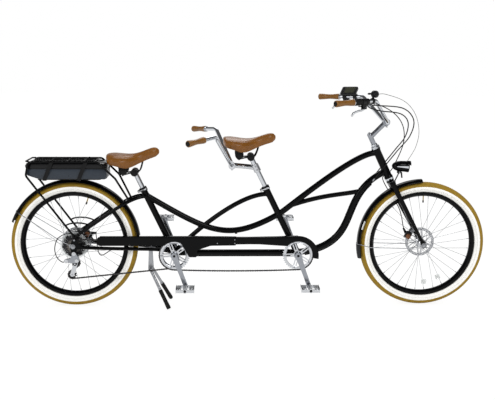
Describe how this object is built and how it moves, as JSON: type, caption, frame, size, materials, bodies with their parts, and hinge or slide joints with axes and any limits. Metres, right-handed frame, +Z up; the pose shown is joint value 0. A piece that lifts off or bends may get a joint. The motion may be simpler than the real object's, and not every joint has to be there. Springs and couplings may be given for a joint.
{
  "type": "tandem bicycle",
  "caption": "Step-through tandem cruiser bicycle with curved twin frame tubes, linked cranks, hub motor, rack battery, fenders and centre stand.",
  "frame": {"origin": "on the ground, midway between the two hubs, in the centre plane", "axes": "+X forward along the wheelbase, +Y to the riders' left, +Z up"},
  "size_m": [2.559, 0.826, 1.1938],
  "materials": {
    "black_enamel": "gloss black paint",
    "chrome": "bright chrome plate",
    "polished_aluminium": "polished alloy",
    "steel": "plain bright steel",
    "black_plastic": "satin black moulding",
    "black_rubber": "matte black rubber",
    "tan_rubber": "tan tread with pale sidewalls",
    "brown_leather": "waxed brown leather",
    "battery_plastic": "dark moulded case"
  },
  "bodies": {
    "frame": {"head_tube": "black_enamel", "top_tube": "black_enamel", "stoker_tubes": "black_enamel", "down_tube": "black_enamel", "captain_seat_tube": "black_enamel", "stoker_seat_tube": "black_enamel", "seat_stays": "black_enamel", "chain_stays": "black_enamel", "rear_rack": "black_enamel", "rear_fender": "black_enamel", "chain_guard": "black_enamel", "timing_chain": "steel", "drive_chain": "steel", "rear_derailleur": "polished_aluminium", "rear_caliper": "black_plastic"},
    "steering": {"fork": "black_enamel", "front_fender": "black_enamel", "stem": "chrome", "handlebar": "chrome", "left_grip": "brown_leather", "right_grip": "brown_leather", "left_lever_perch": "black_plastic", "right_lever_perch": "black_plastic", "display": "black_plastic", "light_switch": "black_plastic", "headlight": "black_enamel", "front_caliper": "black_plastic", "rear_brake_cable": "black_rubber", "shift_cable": "black_rubber", "lamp_wire": "black_rubber"},
    "front_wheel": {"front_tyre": "tan_rubber", "front_rim": "black_enamel", "front_hub": "steel"},
    "rear_wheel": {"rear_tyre": "tan_rubber", "rear_rim": "black_enamel", "rear_hub": "steel"},
    "cassette": {"cassette": "steel"},
    "tension_pulley": {"tension_pulley": "black_plastic"},
    "captain_crank": {"captain_crank": "polished_aluminium"},
    "stoker_crank": {"stoker_crank": "polished_aluminium"},
    "captain_left_pedal": {"captain_left_pedal": "black_rubber"},
    "captain_right_pedal": {"captain_right_pedal": "black_rubber"},
    "stoker_left_pedal": {"stoker_left_pedal": "black_rubber"},
    "stoker_right_pedal": {"stoker_right_pedal": "black_rubber"},
    "captain_post": {"captain_seatpost": "chrome", "captain_saddle": "brown_leather", "stoker_stem": "polished_aluminium", "stoker_handlebar": "chrome", "stoker_left_grip": "brown_leather", "stoker_right_grip": "brown_leather"},
    "stoker_post": {"stoker_seatpost": "chrome", "stoker_saddle": "brown_leather"},
    "captain_clamp_lever": {"captain_clamp_lever": "chrome"},
    "stoker_clamp_lever": {"stoker_clamp_lever": "chrome"},
    "battery": {"battery": "battery_plastic"},
    "centre_stand": {"centre_stand": "steel"},
    "left_brake_lever": {"left_brake_lever": "polished_aluminium"},
    "right_brake_lever": {"right_brake_lever": "polished_aluminium"},
    "throttle": {"throttle": "black_rubber"},
    "shift_lever": {"shift_lever": "black_plastic"}
  },
  "joints": [
    {"name": "steering", "type": "hinge", "parent": "frame", "child": "steering", "pos_m": [0.75015, 0, 0.6987], "axis": [-0.4337, 0, 0.9011], "range_deg": [-55, 55], "deforming": ["rear_brake_cable", "shift_cable"]},
    {"name": "front_wheel_spin", "type": "hinge", "parent": "steering", "child": "front_wheel", "pos_m": [0.94, 0, 0.3395], "axis": [0, 1, 0], "continuous": true},
    {"name": "rear_wheel_spin", "type": "hinge", "parent": "frame", "child": "rear_wheel", "pos_m": [-0.94, 0, 0.3395], "axis": [0, 1, 0], "continuous": true},
    {"name": "captain_crank_spin", "type": "hinge", "parent": "frame", "child": "captain_crank", "pos_m": [0.26, 0, 0.29], "axis": [0, 1, 0], "continuous": true},
    {"name": "stoker_crank_spin", "type": "hinge", "parent": "frame", "child": "stoker_crank", "pos_m": [-0.403, 0, 0.29], "axis": [0, 1, 0], "continuous": true},
    {"name": "cassette_spin", "type": "hinge", "parent": "frame", "child": "cassette", "pos_m": [-0.94, 0, 0.3395], "axis": [0, 1, 0], "continuous": true},
    {"name": "tension_pulley_spin", "type": "hinge", "parent": "frame", "child": "tension_pulley", "pos_m": [-0.95, 0, 0.183], "axis": [0, 1, 0], "continuous": true},
    {"name": "captain_left_pedal_spin", "type": "hinge", "parent": "captain_crank", "child": "captain_left_pedal", "pos_m": [0.20015, 0.14, 0.45445], "axis": [0, 1, 0], "continuous": true},
    {"name": "captain_right_pedal_spin", "type": "hinge", "parent": "captain_crank", "child": "captain_right_pedal", "pos_m": [0.31985, -0.144, 0.12555], "axis": [0, 1, 0], "continuous": true},
    {"name": "stoker_left_pedal_spin", "type": "hinge", "parent": "stoker_crank", "child": "stoker_left_pedal", "pos_m": [-0.46285, 0.14, 0.45445], "axis": [0, 1, 0], "continuous": true},
    {"name": "stoker_right_pedal_spin", "type": "hinge", "parent": "stoker_crank", "child": "stoker_right_pedal", "pos_m": [-0.34315, -0.144, 0.12555], "axis": [0, 1, 0], "continuous": true},
    {"name": "centre_stand_fold", "type": "hinge", "parent": "frame", "child": "centre_stand", "pos_m": [-0.534, 0, 0.2045], "axis": [0, 1, 0], "range_deg": [0, 80]},
    {"name": "captain_clamp_swing", "type": "hinge", "parent": "frame", "child": "captain_clamp_lever", "pos_m": [0.06304, -0.0155, 0.63452], "axis": [0.4384, 0, -0.8988], "range_deg": [0, 150]},
    {"name": "stoker_clamp_swing", "type": "hinge", "parent": "frame", "child": "stoker_clamp_lever", "pos_m": [-0.59163, -0.0155, 0.62663], "axis": [0.4289, 0, -0.9033], "range_deg": [0, 150]},
    {"name": "captain_post_slide", "type": "slide", "parent": "frame", "child": "captain_post", "axis": [-0.4384, 0, 0.8988], "range_m": [-0.04, 0.08]},
    {"name": "stoker_post_slide", "type": "slide", "parent": "frame", "child": "stoker_post", "axis": [-0.4289, 0, 0.9033], "range_m": [-0.02, 0.08]},
    {"name": "battery_slide", "type": "slide", "parent": "frame", "child": "battery", "axis": [-1, 0, 0], "range_m": [0, 0.3]},
    {"name": "left_brake_pull", "type": "hinge", "parent": "steering", "child": "left_brake_lever", "pos_m": [0.54767, 0.24765, 1.09105], "axis": [0.5331, 0.846, 0], "range_deg": [0, 18], "stiffness_Nm_per_rad": 0.6},
    {"name": "right_brake_pull", "type": "hinge", "parent": "steering", "child": "right_brake_lever", "pos_m": [0.56712, -0.23539, 1.09176], "axis": [-0.5331, 0.846, 0], "range_deg": [0, 18], "stiffness_Nm_per_rad": 0.6},
    {"name": "throttle_twist", "type": "hinge", "parent": "steering", "child": "throttle", "pos_m": [0.5249, -0.262, 1.12023], "axis": [0.8456, 0.5329, 0.0309], "range_deg": [0, 60], "stiffness_Nm_per_rad": 0.15},
    {"name": "shift_push", "type": "hinge", "parent": "steering", "child": "shift_lever", "pos_m": [0.57027, -0.21449, 1.09819], "axis": [0.0261, 0.0165, -0.9995], "range_deg": [0, 25], "stiffness_Nm_per_rad": 0.1}
  ],
  "couplings": [
    {"joint": "stoker_crank_spin", "follows": "captain_crank_spin", "ratio": 1},
    {"joint": "cassette_spin", "follows": "captain_crank_spin", "ratio": 2},
    {"joint": "tension_pulley_spin", "follows": "captain_crank_spin", "ratio": 3.2727}
  ]
}
